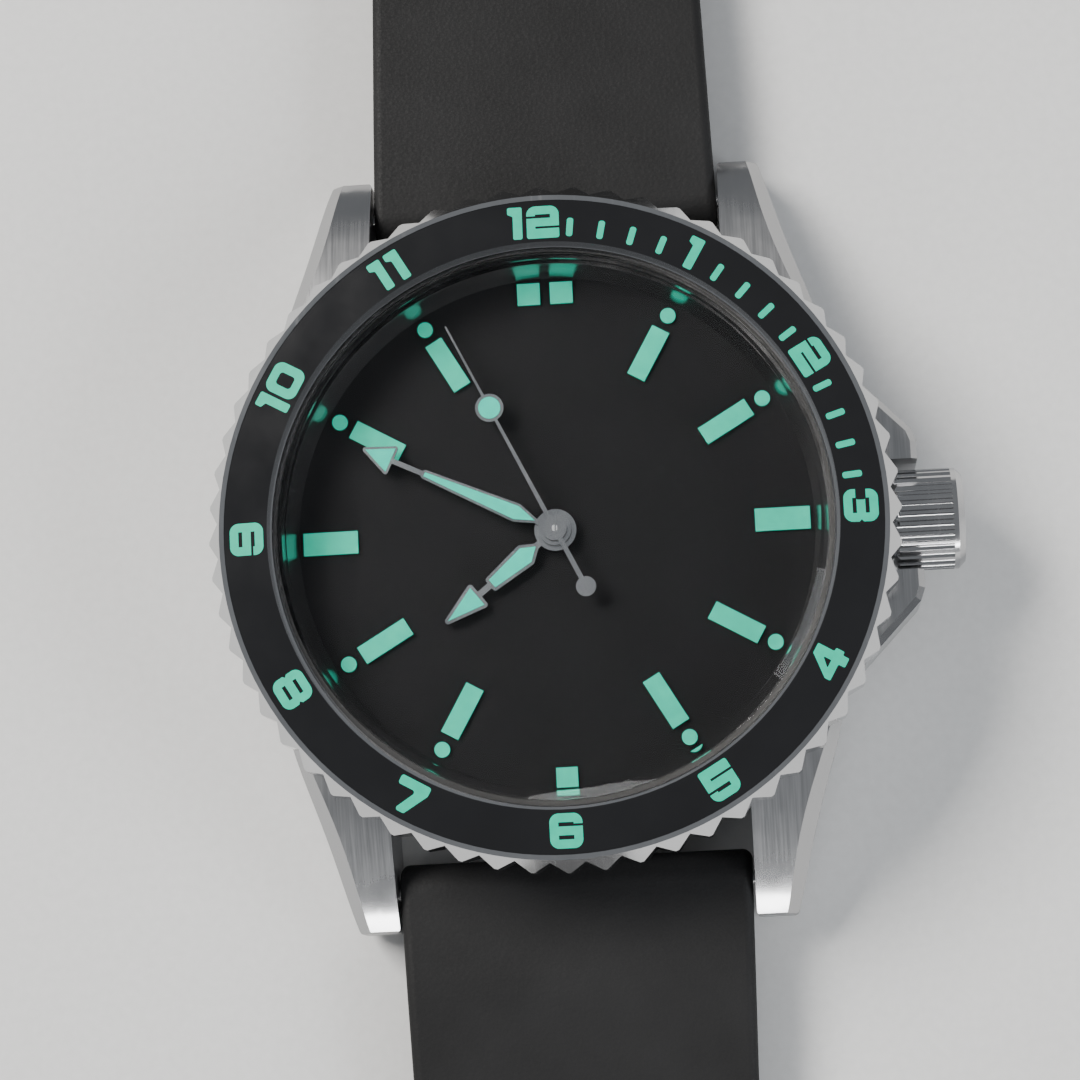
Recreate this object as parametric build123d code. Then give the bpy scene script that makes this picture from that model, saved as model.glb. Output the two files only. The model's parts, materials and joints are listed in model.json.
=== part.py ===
"""Dive watch with a turning hour bezel, an automatic movement and a rubber strap.

Frame, in millimetres: the origin is the centre of the case back's flat face. +Z points out of
the dial, +Y points at 12 o'clock and +X at the crown. The strap is open and lies flat.
"""
from build123d import *
from math import cos, radians, sin
import os

# ---- Driving dimensions -------------------------------------------------------------------
STRAP_WIDTH = 22.0            # at the lugs
STRAP_END_WIDTH = 20.0        # from the taper's end to the buckle and the tip
BEZEL_TIP_R = 21.2            # over the grip teeth
BEZEL_ROOT_R = 20.6           # in the valleys between them
BEZEL_TEETH = 60
CASE_R = 20.2
SPRING_BAR_Y = 21.6
SPRING_BAR_Z = 3.2
CROWN_Z = 4.9                 # height of the crown's axis
CROWN_END_X = 25.2
CROWN_R = 3.15

# Heights of the stack, from the case back up
CASE_BOTTOM = 1.3
CASE_TOP = 8.45
NECK_TOP = 10.95
DIAL_BOTTOM = 7.6
DIAL_TOP = 8.0
CRYSTAL_BOTTOM = 10.0
CRYSTAL_TOP = 12.5
BEZEL_BOTTOM = 8.75
BEZEL_TOP = 12.0
PLATE_BOTTOM = 6.1
PLATE_TOP = 6.9
BRIDGE_BOTTOM = 3.6
BRIDGE_TOP = 4.15

NECK_R = 17.9                 # the case's raised neck, which the bezel turns on
NECK_BORE_R = 17.15
CRYSTAL_R = 16.85
REHAUT_R = 16.75
CAVITY_R = 15.6
DIAL_R = 16.7
PLATE_R = 12.8
RUNNING = 0.05                # radial clearance of small shafts in their holes

# Bezel insert and its numerals
INSERT_INNER_R = 17.45
INSERT_OUTER_R = 20.15
INSERT_INNER_Z = 12.3
INSERT_OUTER_Z = 11.95
INSERT_THICK = 0.7
LUME_DEPTH = 0.25
NUMERAL_R = 18.72
NUMERAL_WIDTH = 2.0
NUMERAL_HEIGHT = 2.1
STROKE = 0.54
TICK_R = 18.4

# Dial plots: distances from the dial's centre
PLOT_HEIGHT = 0.22
PLOT_R = 12.5
PLOT_LENGTH = 3.39
PLOT_WIDTH = 1.18
DOT_R = 15.16
DOT_RADIUS = 0.48
WIDE_PLOT_R = 13.97           # the bars at 3 and 9 o'clock
WIDE_PLOT_WIDTH = 1.4
SQUARE_12_R = 15.0
SQUARE_12 = (1.41, 1.36)      # width and height of each of the pair
SQUARE_12_X = 1.02            # half the distance between the pair's centres
SQUARE_6_R = 15.2
SQUARE_6 = (1.32, 1.22)

# Hands, as clock angles in degrees clockwise from 12
HOUR_ANGLE = 232.3
MINUTE_ANGLE = 296.0
SECOND_ANGLE = 334.5
HAND_THICK = 0.2
LUME_PROUD = 0.06             # how far the fill stands above the hand's frame
SECOND_DOT_AT = (0, 8.55)
SECOND_DOT_R = 0.68
HOUR_HAND_Z = 8.45
MINUTE_HAND_Z = 8.85
SECOND_HAND_Z = 9.25

# Gear train: centre distances from tooth counts and modules
TRAIN_MODULE = 0.1
THIRD_MODULE = 4.5 / 42.5     # 75 and 10 teeth on the same 4.5 mm as 80 and 10 at 0.1
BARREL_MODULE = 0.115
MOTION_MODULE = 0.1
HOUR_MODULE = 2.4 / 25        # 10 and 40 teeth on the same 2.4 mm as 12 and 36 at 0.1


def from_centre(distance, angle):
    """A point at a distance from the centre, at an angle anticlockwise from +X."""
    return distance * cos(radians(angle)), distance * sin(radians(angle))


BARREL_ANGLE = 135
THIRD_ANGLE = -10
ESCAPE_ANGLE = -75
FORK_ANGLE = -150             # from the escape wheel to the fork and the balance
ESCAPE_TURN = 2.5             # puts both pallet stones between teeth
MINUTE_WHEEL_ANGLE = 100
BARREL = from_centre((90 + 12) / 2 * BARREL_MODULE, BARREL_ANGLE)
THIRD = from_centre(4.5, THIRD_ANGLE)
ESCAPE = from_centre((84 + 7) / 2 * TRAIN_MODULE, ESCAPE_ANGLE)
FORK_STEP = from_centre(2.55, FORK_ANGLE)
FORK = (ESCAPE[0] + FORK_STEP[0], ESCAPE[1] + FORK_STEP[1])
BALANCE_STEP = from_centre(3.4, FORK_ANGLE)
BALANCE = (FORK[0] + BALANCE_STEP[0], FORK[1] + BALANCE_STEP[1])
MINUTE_WHEEL = from_centre(2.4, MINUTE_WHEEL_ANGLE)
SCREW_ANGLES = (16, 75, 150, 200, 243, 305)
SCREW_R = 12.1

# Strap
STRAP_TAPER_END = 62.0        # where the width reaches STRAP_END_WIDTH
STRAP_THICK = 3.6             # beside the case
STRAP_THIN = 2.6
BAR_R = 0.75
LUG_BAR_HALF = 10.9           # half of a spring bar's body between the lugs
BUCKLE_BAR_HALF = 10.45
BAR_TIP = 1.1                 # how far each thin tip stands out of the body
STRAP_EYE_R = 0.85
STRAP_LOOP_R = 1.8            # round either bar
SHORT_LIFT = 1.4              # the short half rides this high on its keepers
LONG_END_Y = 137.0
BUCKLE_BAR_Y = 97.0
BUCKLE_BAR_Z = SHORT_LIFT + STRAP_THIN / 2
HOLE_COUNT = 9
HOLE_PITCH = 6.5
FIRST_HOLE_Y = 70.0
BUCKLE_WIDTH = 26.4
BUCKLE_OPENING = 21.2
BUCKLE_ROUNDING = 0.3
FIXED_KEEPER_Y = 89.5
SLIDING_KEEPER_Y = 80.0
KEEPER_WALL = 1.2
KEEPER_LENGTH = 6.0
KEEPER_GAP = 0.2              # between the keeper's inside and the strap


# ---- Helpers ------------------------------------------------------------------------------
def disc(radius, bottom, top, at=(0, 0)):
    """An upright cylinder between two heights."""
    return Pos(at[0], at[1], bottom) * extrude(Circle(radius), top - bottom)


def ring(outer, inner, bottom, top, at=(0, 0)):
    """An upright tube between two heights."""
    return Pos(at[0], at[1], bottom) * extrude(Circle(outer) - Circle(inner), top - bottom)


def turned(*points):
    """A solid turned about Z from (radius, height) points."""
    return revolve(Plane.XZ * make_face(Polyline(*points, close=True)), Axis.Z)


def plate(points, bottom, top):
    """A flat plate with a straight-sided outline."""
    return Pos(0, 0, bottom) * extrude(make_face(Polyline(*points, close=True)), top - bottom)


def block(x_range, y_range, z_range):
    """A box from its lowest and highest values on each axis."""
    size = [high - low for low, high in (x_range, y_range, z_range)]
    middle = [(high + low) / 2 for low, high in (x_range, y_range, z_range)]
    return Pos(*middle) * Box(*size)


def at_clock(angle, shape):
    """A shape turned clockwise by a clock angle about Z."""
    return Rot(0, 0, -angle) * shape


def along_x(radius, start, end, y=0.0, z=0.0):
    """A cylinder along X."""
    return Pos(start, y, z) * Rot(0, 90, 0) * extrude(Circle(radius), end - start)


def side_profile(face, half_width):
    """Extrudes a face drawn as (y, z) both ways along X."""
    return extrude(Plane.YZ * face, half_width, both=True)


# ---- Case ---------------------------------------------------------------------------------
LUG_SECTIONS = (              # distance along Y, outer X, bottom Z, top Z, bevel
    (10.5, 17.3, 1.6, 8.3, 0.6),
    (15.0, 16.2, 1.45, 8.0, 0.8),
    (19.6, 14.8, 0.95, 6.6, 0.9),
    (22.4, 14.1, 0.6, 5.1, 0.8),
    (24.0, 13.65, 0.8, 3.9, 0.7),
)
LUG_INNER_X = 11.1


def lug_section(y, outer_x, bottom, top, bevel):
    """A lug's cross-section, bevelled along its outer upper edge."""
    outline = Polyline((LUG_INNER_X, bottom), (outer_x - 0.3, bottom), (outer_x, bottom + 0.4),
                       (outer_x, top - bevel), (outer_x - bevel, top), (LUG_INNER_X, top),
                       close=True)
    return Pos(0, y, 0) * (Plane.XZ * make_face(outline))


def lug_pair(side):
    """The two lugs on one side of the case, side being +1 at 12 and -1 at 6 o'clock."""
    lug = loft([lug_section(*section) for section in LUG_SECTIONS])
    lug = fillet(lug.faces().sort_by(Axis.Y)[-1].edges(), 0.3)
    pair = Part() + [lug, mirror(lug, Plane.YZ)]
    return pair if side > 0 else mirror(pair, Plane.XZ)


def crown_guards():
    """The two shoulders beside the crown."""
    outline = [(17.0, -9.6), (18.4, -9.3), (22.2, -5.4), (22.5, -4.6), (22.5, 4.6), (22.2, 5.4),
               (18.4, 9.3), (17.0, 9.6)]
    shoulders = plate(outline, 2.2, 7.9)
    flat_edges = [edge for edge in shoulders.edges() if abs(edge.tangent_at(0.5).Z) < 0.1]
    shoulders = chamfer([edge for edge in flat_edges if edge.center().X > 17.5], 0.4)
    return shoulders - block((20.3, 24), (-3.45, 3.45), (0, 9))


def mid_case():
    body = turned((16.95, CASE_BOTTOM), (17.4, CASE_BOTTOM), (19.5, 2.3), (CASE_R, 3.3),
                  (CASE_R, 7.9), (19.7, CASE_TOP), (NECK_R, CASE_TOP), (NECK_R, 9.38),
                  (17.68, 9.38), (17.68, 9.82), (NECK_R, 9.82), (NECK_R, 10.75),
                  (17.7, NECK_TOP), (NECK_BORE_R, NECK_TOP), (NECK_BORE_R, CRYSTAL_BOTTOM),
                  (16.8, CRYSTAL_BOTTOM), (16.8, DIAL_BOTTOM), (CAVITY_R, DIAL_BOTTOM),
                  (CAVITY_R, 2.65), (16.32, 2.65), (16.32, 1.75), (16.95, 1.75))
    cavity = disc(17.2, 0, CASE_TOP)
    for addition in (lug_pair(1), lug_pair(-1), crown_guards()):
        body += addition - cavity
    for side in (1, -1):
        wall = side * 19.3
        far = side * 26.0
        body -= block((-11.1, 11.1), sorted((wall, far)), (0, 8.3))
        for end in (1, -1):
            body -= along_x(0.5, min(end * 11.0, end * 12.5), max(end * 11.0, end * 12.5),
                            side * SPRING_BAR_Y, SPRING_BAR_Z)
    return body - along_x(1.0, 14.0, 21.0, 0, CROWN_Z)


def case_back():
    """A screwed back with a raised flat face and slots for its key."""
    back = turned((0, 0), (12.5, 0), (12.9, 0.35), (16.9, 0.35), (17.2, 0.65),
                  (17.2, CASE_BOTTOM), (16.3, CASE_BOTTOM), (16.3, 2.6), (15.2, 2.6),
                  (15.2, 1.7), (0, 1.7))
    slot = block((14.6, 18), (-1.2, 1.2), (0, 0.85))
    for turn in range(6):
        back -= Rot(0, 0, 30 + 60 * turn) * slot
    return back


def case_back_gasket():
    return ring(16.9, 16.35, CASE_BOTTOM, 1.75)


def crown_tube():
    """The pressed tube that the crown screws onto."""
    tube = along_x(1.0, 16.0, 21.0, 0, CROWN_Z) + along_x(1.5, 20.3, 23.6, 0, CROWN_Z)
    return tube - along_x(0.55, 15.0, 24.0, 0, CROWN_Z)


def movement_holder():
    """The plastic ring between the movement and the case."""
    holder = ring(CAVITY_R - 0.05, PLATE_R + 0.05, 3.4, DIAL_BOTTOM)
    return holder - along_x(0.8, 12.0, 16.0, 0, CROWN_Z)


def rehaut_ring():
    """The sloped ring between the dial and the crystal."""
    return turned((15.95, DIAL_TOP), (REHAUT_R, DIAL_TOP), (REHAUT_R, CRYSTAL_BOTTOM),
                  (16.5, CRYSTAL_BOTTOM), (16.45, 9.85))


def crystal():
    """A thick sapphire disc with a slight dome and a bevelled rim."""
    flat_r = CRYSTAL_R - 0.55
    rise = 0.3
    peak = (0, CRYSTAL_TOP + rise)
    shoulder = (flat_r, CRYSTAL_TOP)
    dome = RadiusArc(peak, shoulder, (flat_r ** 2 + rise ** 2) / (2 * rise))
    rest = Polyline(shoulder, (CRYSTAL_R, CRYSTAL_TOP - 0.4), (CRYSTAL_R, CRYSTAL_BOTTOM),
                    (0, CRYSTAL_BOTTOM), peak)
    return revolve(Plane.XZ * make_face(dome + rest), Axis.Z)


def crystal_gasket():
    return ring(NECK_BORE_R, CRYSTAL_R, CRYSTAL_BOTTOM, 11.2)


def bezel_retaining_wire():
    """A split wire in the neck's groove that keeps the bezel on."""
    wire = ring(18.08, 17.72, 9.45, 9.75)
    return wire - block((-1.2, 1.2), (-19, -17), (9, 10))


def bezel_click_spring():
    """A thin split ring with raised tongues that the bezel's teeth click over."""
    spring = ring(19.4, 18.3, CASE_TOP, 8.6)
    for turn in range(3):
        spring += Rot(0, 0, 120 * turn) * block((18.5, 19.2), (-1.0, 1.0), (8.55, 8.7))
    return spring - block((-0.6, 0.6), (17, 20), (8, 9))


# ---- Bezel --------------------------------------------------------------------------------
def bezel_ring():
    """The grip ring, cut with V-shaped teeth below a bevelled edge."""
    body = turned((18.0, BEZEL_BOTTOM), (20.7, BEZEL_BOTTOM), (BEZEL_TIP_R, 9.2),
                  (BEZEL_TIP_R, 11.0), (20.45, BEZEL_TOP), (INSERT_OUTER_R, BEZEL_TOP),
                  (INSERT_OUTER_R, INSERT_OUTER_Z - INSERT_THICK),
                  (INSERT_INNER_R, INSERT_INNER_Z - INSERT_THICK), (17.25, 11.6),
                  (17.25, 11.3), (18.0, 11.0), (18.0, 9.85), (18.15, 9.85), (18.15, 9.35),
                  (18.0, 9.35))
    pitch = 360 / BEZEL_TEETH
    valleys = []
    for tooth in range(BEZEL_TEETH):
        middle = pitch * (tooth + 0.5)
        root = from_centre(BEZEL_ROOT_R, middle)
        sides = [from_centre(BEZEL_TIP_R + 0.1, middle + offset)
                 for offset in (-0.52 * pitch, 0.52 * pitch)]
        valleys.append(make_face(Polyline(root, *sides, close=True)))
    grooves = Pos(0, 0, 8) * extrude(Sketch() + valleys, 5)
    return body - grooves


def insert_layer(depth_from, depth_to):
    """A sloped ring below the insert's surface, between two depths."""
    return turned((INSERT_INNER_R, INSERT_INNER_Z - depth_to),
                  (INSERT_INNER_R, INSERT_INNER_Z - depth_from),
                  (INSERT_OUTER_R, INSERT_OUTER_Z - depth_from),
                  (INSERT_OUTER_R, INSERT_OUTER_Z - depth_to))


def window(low, high, left=0.0, right=0.0):
    """A slot inside a numeral, opened through its left or right side where asked."""
    inner = NUMERAL_WIDTH / 2 - STROKE
    start = -inner - left
    end = inner + right
    return Pos((start + end) / 2, (low + high) / 2) * Rectangle(end - start, high - low)


def waist(side):
    """A shallow notch halfway up one side of a numeral, side being -1 or +1."""
    edge = side * NUMERAL_WIDTH / 2
    points = ((edge + side * 0.2, 0.32), (edge - side * 0.14, 0.0), (edge + side * 0.2, -0.32))
    return make_face(Polyline(*points, close=True))


def rounded(points, radius):
    """A straight-sided outline with every corner rounded."""
    shape = make_face(Polyline(*points, close=True))
    return fillet(shape.vertices(), radius)


def numeral(digit):
    """One wide, round-shouldered numeral centred on the origin."""
    width, height = NUMERAL_WIDTH, NUMERAL_HEIGHT
    through = STROKE + 0.3
    slot = (height - 3 * STROKE) / 2
    gap = 0.14
    upper = (STROKE / 2, STROKE / 2 + slot)
    lower = (-STROKE / 2 - slot, -STROKE / 2)
    block_shape = RectangleRounded(width, height, 0.55)
    square_foot = Pos(0, -height / 2 + STROKE) * RectangleRounded(width, 2 * STROKE, 0.15)
    square_head = Pos(0, height / 2 - STROKE) * RectangleRounded(width, 2 * STROKE, 0.15)
    if digit == "0":
        return block_shape - RectangleRounded(width - 2.2 * STROKE, height - 2 * STROKE, 0.2)
    if digit == "1":
        return rounded([(-0.5, height / 2), (0.41, height / 2), (0.41, -height / 2),
                        (-0.17, -height / 2), (-0.17, 0.45), (-0.5, 0.6)], 0.12)
    if digit == "2":
        return (block_shape + square_foot - window(*upper)
                - window(upper[0], upper[0] + gap, left=through)
                - window(lower[1] - gap, lower[1], right=through))
    if digit == "3":
        return (block_shape - window(*upper) - window(*lower) - waist(1)
                - Pos(-width / 2, 0) * RectangleRounded(1.3, 0.62, 0.15))
    if digit == "4":
        outline = [(-width / 2, -0.62), (-width / 2, -0.25), (0.05, height / 2),
                   (0.72, height / 2), (0.72, -0.05), (0.95, -0.05), (0.95, -0.62),
                   (0.72, -0.62), (0.72, -height / 2), (0.1, -height / 2), (0.1, -0.62)]
        return rounded(outline, 0.09) - rounded([(-0.38, -0.12), (0.14, -0.12), (0.14, 0.4)], 0.04)
    if digit == "5":
        return (block_shape + square_head - window(*lower)
                - window(upper[0], upper[0] + gap, right=through)
                - window(lower[1] - gap, lower[1], left=through))
    if digit == "6":
        return (block_shape - window(*upper) - window(*lower)
                - window(upper[0], upper[0] + gap, right=through))
    if digit == "7":
        outline = [(-width / 2, height / 2), (width / 2, height / 2), (width / 2, 0.5),
                   (0.12, -height / 2), (-0.55, -height / 2), (0.25, height / 2 - 0.6),
                   (-width / 2, height / 2 - 0.6)]
        return rounded(outline, 0.16)
    if digit == "8":
        return block_shape - window(*upper) - window(*lower) - waist(1) - waist(-1)
    return (block_shape - window(*upper) - window(*lower)
            - window(lower[1] - gap, lower[1], left=through))


def bezel_numerals():
    """The sketch of all twelve numbers and the quarter's minute ticks."""
    offsets = {10: (("1", -1.2), ("0", 0.42)), 11: (("1", -0.55), ("1", 0.65)),
               12: (("1", -1.4), ("2", 0.28))}
    marks = []
    for hour in range(1, 13):
        digits = offsets.get(hour, ((str(hour), 0.0),))
        upright = 180 if 4 <= hour <= 8 else 0
        for digit, shift in digits:
            marks.append(at_clock(30 * hour, Pos(0, NUMERAL_R) * Rot(0, 0, upright)
                                  * Pos(shift, 0) * numeral(digit)))
    for minute in range(1, 15):
        if minute % 5:
            marks.append(at_clock(6 * minute, Pos(0, TICK_R) * RectangleRounded(0.4, 1.2, 0.16)))
    return Sketch() + marks


def bezel_lume():
    prisms = Pos(0, 0, 11) * extrude(bezel_numerals(), 2)
    return prisms & insert_layer(0, LUME_DEPTH)


def bezel_insert(lume):
    return insert_layer(0, INSERT_THICK) - lume


# ---- Dial and hands -----------------------------------------------------------------------
DIAL_FEET = (from_centre(10.8, 40), from_centre(10.8, 230))


def dial():
    plate_body = ring(DIAL_R, 1.0, DIAL_BOTTOM, DIAL_TOP)
    for foot in DIAL_FEET:
        plate_body += disc(0.35, 6.4, DIAL_BOTTOM, foot)
    return plate_body


def dial_plots():
    """The raised luminous plots: bars with outer dots, a double square at 12, one at 6."""
    flat = Rectangle(PLOT_WIDTH, PLOT_LENGTH)
    shapes = []
    for hour in (1, 2, 4, 5, 7, 8, 10, 11):
        shapes.append(at_clock(30 * hour, Pos(0, PLOT_R) * flat))
        shapes.append(at_clock(30 * hour, Pos(0, DOT_R) * Circle(DOT_RADIUS)))
    for hour in (3, 9):
        bar = Rectangle(WIDE_PLOT_WIDTH, PLOT_LENGTH)
        shapes.append(at_clock(30 * hour, Pos(0, WIDE_PLOT_R) * bar))
    for side in (-1, 1):
        shapes.append(Pos(SQUARE_12_X * side, SQUARE_12_R) * Rectangle(*SQUARE_12))
    shapes.append(Pos(0, -SQUARE_6_R) * Rectangle(*SQUARE_6))
    return Pos(0, 0, DIAL_TOP) * extrude(Sketch() + shapes, PLOT_HEIGHT)


def outline_face(points):
    """A face symmetric about Y from its right-hand points."""
    left = [(-x, y) for x, y in reversed(points) if x > 0]
    return make_face(Polyline(*points, *left, close=True))


HOUR_BLADE = [(0, 1.6), (0.55, 2.4), (0.3, 5.1)]
HOUR_ARROW = [(0.68, 6.3), (0, 8.64)]
MINUTE_BLADE = [(0, 1.36), (0.43, 2.6), (0.13, 8.8)]
MINUTE_ARROW = [(0.78, 11.1), (0, 12.8)]


def hand_frame(blade, arrow, hub_r, hole_r, rim, bottom):
    """A hand's metal frame: its rims, the stalk to the arrow and the hub."""
    windows = outline_face(blade) + outline_face(arrow)
    body = offset(outline_face(blade), rim) + offset(outline_face(arrow), rim)
    stalk_end = arrow[0][1]
    body += Pos(0, stalk_end / 2) * Rectangle(2 * rim, stalk_end)
    body = body - windows + Circle(hub_r) - Circle(hole_r)
    return Pos(0, 0, bottom) * extrude(body, HAND_THICK)


def hand_lume(blade, arrow, bottom):
    """The luminous fill of a hand, standing slightly proud of its frame."""
    windows = outline_face(blade) + outline_face(arrow)
    return Pos(0, 0, bottom) * extrude(windows, HAND_THICK + LUME_PROUD)


def seconds_hand():
    """A thin needle with a ringed dot, a hub and a round counterweight."""
    needle = outline_face([(0.14, 0.0), (0.05, 14.4)])
    tail = Pos(0, -1.9) * Rectangle(0.3, 3.8) + Pos(0, -4.1) * Circle(0.62)
    body = needle + tail + Circle(0.75) + Pos(*SECOND_DOT_AT) * Circle(SECOND_DOT_R + 0.2)
    body = body - Pos(*SECOND_DOT_AT) * Circle(SECOND_DOT_R) - Circle(0.2)
    return Pos(0, 0, SECOND_HAND_Z) * extrude(body, HAND_THICK)


def seconds_lume():
    return Pos(*SECOND_DOT_AT, SECOND_HAND_Z) * extrude(Circle(SECOND_DOT_R),
                                                        HAND_THICK + LUME_PROUD)


# ---- Crown --------------------------------------------------------------------------------
def crown():
    """The fluted crown, hollow over its tube."""
    body = along_x(CROWN_R, 20.75, CROWN_END_X, 0, CROWN_Z)
    body = chamfer(body.edges(), 0.4)
    flute = along_x(0.24, 20.6, 24.5, CROWN_R + 0.06, 0)
    for turn in range(30):
        body -= Pos(0, 0, CROWN_Z) * Rot(12 * turn, 0, 0) * flute
    body -= along_x(1.9, 20.0, 24.1, 0, CROWN_Z)
    return body - along_x(0.45, 24.0, 24.6, 0, CROWN_Z)


def crown_gasket():
    """The O-ring that slides on the tube with the crown."""
    outer = along_x(1.88, 20.95, 21.35, 0, CROWN_Z)
    return outer - along_x(1.52, 20.9, 21.4, 0, CROWN_Z)


def winding_stem():
    return along_x(0.45, 9.2, 24.6, 0, CROWN_Z)


def winding_pinion():
    """The toothed wheel on the stem's inner end."""
    teeth = gear_face(14, 0.09) - Circle(0.45)
    return Pos(9.5, 0, CROWN_Z) * Rot(0, 90, 0) * extrude(teeth, 1.0)


# ---- Movement -----------------------------------------------------------------------------
def gear_face(teeth, module):
    """A toothed outline with one tooth centred on +X."""
    tip = module * (teeth / 2 + 1)
    root = module * (teeth / 2 - 1.25)
    pitch = 360 / teeth
    flank = ((-0.30, root), (-0.13, tip), (0.13, tip), (0.30, root))
    points = [from_centre(radius, (tooth + place) * pitch)
              for tooth in range(teeth) for place, radius in flank]
    return make_face(Polyline(*points, close=True))


def spoked(teeth, module, hub_r, rim, spokes):
    """A toothed wheel with a thin rim and straight spokes."""
    inner = module * (teeth / 2 - 1.25) - rim
    gaps = Circle(inner) - Circle(hub_r)
    for turn in range(spokes):
        gaps -= Rot(0, 0, 360 / spokes * turn) * Pos(inner / 2, 0) * Rectangle(inner + 1, 0.3)
    return gear_face(teeth, module) - gaps


def in_place(face, bottom, thickness, at=(0, 0), turn=0.0):
    """Extrudes a face at a height, turned about its own centre."""
    return Pos(at[0], at[1], bottom) * Rot(0, 0, turn) * extrude(face, thickness)


def gap_toward(teeth, angle):
    """The turn that points a gap, not a tooth, at an angle."""
    return angle + 180 / teeth


def main_plate():
    """The movement's base plate with the wall that carries the bridges."""
    body = disc(PLATE_R, PLATE_BOTTOM, PLATE_TOP) + ring(PLATE_R, 11.9, BRIDGE_TOP, PLATE_BOTTOM)
    body -= disc(0.55, 6, 7)
    body += disc(0.3, PLATE_TOP, 7.5, MINUTE_WHEEL)
    for place in (BARREL, THIRD, ESCAPE, FORK, BALANCE):
        body -= disc(0.5, PLATE_BOTTOM, 6.4, place)
    for foot in DIAL_FEET:
        body -= disc(0.4, 6.0, 7.0, foot)
    for angle in SCREW_ANGLES:
        body -= disc(0.3, BRIDGE_TOP, 4.9, from_centre(SCREW_R, angle))
    return body - along_x(0.8, 11.0, 13.5, 0, CROWN_Z)


def bridge_outline(kind):
    """The plan of one of the three bridges inside the movement's circle."""
    whole = Circle(PLATE_R - 0.1)
    split = Rot(0, 0, BARREL_ANGLE) * Pos(10.95, 0) * Rectangle(20, 30)
    balance_bay = Pos(*BALANCE) * Circle(4.2)
    if kind == "barrel":
        return whole & split
    if kind == "train":
        wide_split = Rot(0, 0, BARREL_ANGLE) * Pos(10.75, 0) * Rectangle(20, 30)
        return whole - wide_split - balance_bay - Pos(-8.6, -9.6) * Rectangle(8, 8)
    foot = from_centre(11.4, 243)
    arm = make_hull([Pos(*BALANCE) * e for e in Circle(1.1).edges()]
                    + [Pos(*foot) * e for e in Circle(1.2).edges()])
    return arm & whole


def bridge(kind):
    body = Pos(0, 0, BRIDGE_BOTTOM) * extrude(bridge_outline(kind), BRIDGE_TOP - BRIDGE_BOTTOM)
    for place in ((0, 0), BARREL, THIRD, ESCAPE, FORK, BALANCE):
        body -= disc(0.5, BRIDGE_BOTTOM - 0.1, BRIDGE_TOP + 0.1, place)
    for angle in SCREW_ANGLES:
        body -= disc(0.3, BRIDGE_BOTTOM - 0.1, BRIDGE_TOP + 0.1, from_centre(SCREW_R, angle))
    return body


def bridge_screws():
    """Slotted screws that hold the bridges to the plate's wall."""
    screws = []
    for angle in SCREW_ANGLES:
        place = from_centre(SCREW_R, angle)
        head = disc(0.55, 3.35, BRIDGE_BOTTOM, place)
        slot = Pos(place[0], place[1], 3.4) * Rot(0, 0, 7 * angle) * Box(1.4, 0.16, 0.2)
        screws.append(head - slot + disc(0.3, BRIDGE_BOTTOM, 4.9, place))
    return Part() + screws


def jewels():
    """Pivot jewels in the plate and the bridges, each a ring round a pivot."""
    stones = []
    for place in (BARREL, THIRD, ESCAPE, FORK, BALANCE):
        stones.append(ring(0.5, 0.15, PLATE_BOTTOM, 6.4, place))
    for place in ((0, 0), BARREL, THIRD, ESCAPE, FORK, BALANCE):
        stones.append(ring(0.5, 0.15, BRIDGE_BOTTOM, 3.95, place))
    return Part() + stones


def pivoted(arbor_r, at):
    """An arbor with thin pivots in its two jewels."""
    return disc(arbor_r, 4.2, 6.05, at) + disc(0.1, 3.65, 6.35, at)


def barrel_drum():
    """The toothed barrel that holds the mainspring."""
    teeth = gear_face(90, BARREL_MODULE)
    body = in_place(teeth, 5.35, 0.25, BARREL, BARREL_ANGLE + 180)
    body += disc(4.9, 4.6, 5.35, BARREL) - disc(4.6, 4.75, 5.35, BARREL)
    return body - disc(0.5, 4, 6, BARREL)


def barrel_arbor():
    """The arbor that the barrel turns on."""
    return pivoted(0.45, BARREL)


def spiral_ribbon(inner_r, outer_r, turns, thickness, bottom, height, at):
    """A flat coiled spring: a ribbon along an even spiral."""
    steps = 10 * turns
    sides = []
    for shift in (-thickness / 2, thickness / 2):
        sides.append([from_centre(inner_r + (outer_r - inner_r) * step / steps + shift, 36 * step)
                      for step in range(steps + 1)])
    inner_side = Spline(*sides[0])
    outer_side = Spline(*sides[1])
    ends = [Line(sides[0][0], sides[1][0]), Line(sides[0][-1], sides[1][-1])]
    face = make_face(inner_side + outer_side + ends)
    return Pos(at[0], at[1], bottom) * extrude(face, height)


def centre_wheel():
    """The minute arbor: its pinion, its wheel, the cannon tube and pinion under the dial."""
    body = in_place(gear_face(12, BARREL_MODULE), 5.3, 0.45, turn=gap_toward(12, BARREL_ANGLE))
    body += in_place(spoked(80, TRAIN_MODULE, 1.0, 0.45, 4), 5.75, 0.15, turn=THIRD_ANGLE)
    body += disc(0.45, 5.3, MINUTE_HAND_Z + HAND_THICK)
    body += in_place(gear_face(12, MOTION_MODULE), 6.95, 0.17, turn=MINUTE_WHEEL_ANGLE)
    return body - disc(0.25, 5, 10)


def third_wheel():
    body = pivoted(0.25, THIRD)
    body += in_place(gear_face(10, TRAIN_MODULE), 5.5, 0.5, THIRD,
                     gap_toward(10, THIRD_ANGLE + 180))
    wheel = spoked(75, THIRD_MODULE, 0.9, 0.45, 4)
    return body + in_place(wheel, 4.75, 0.15, THIRD, THIRD_ANGLE + 180)


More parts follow.
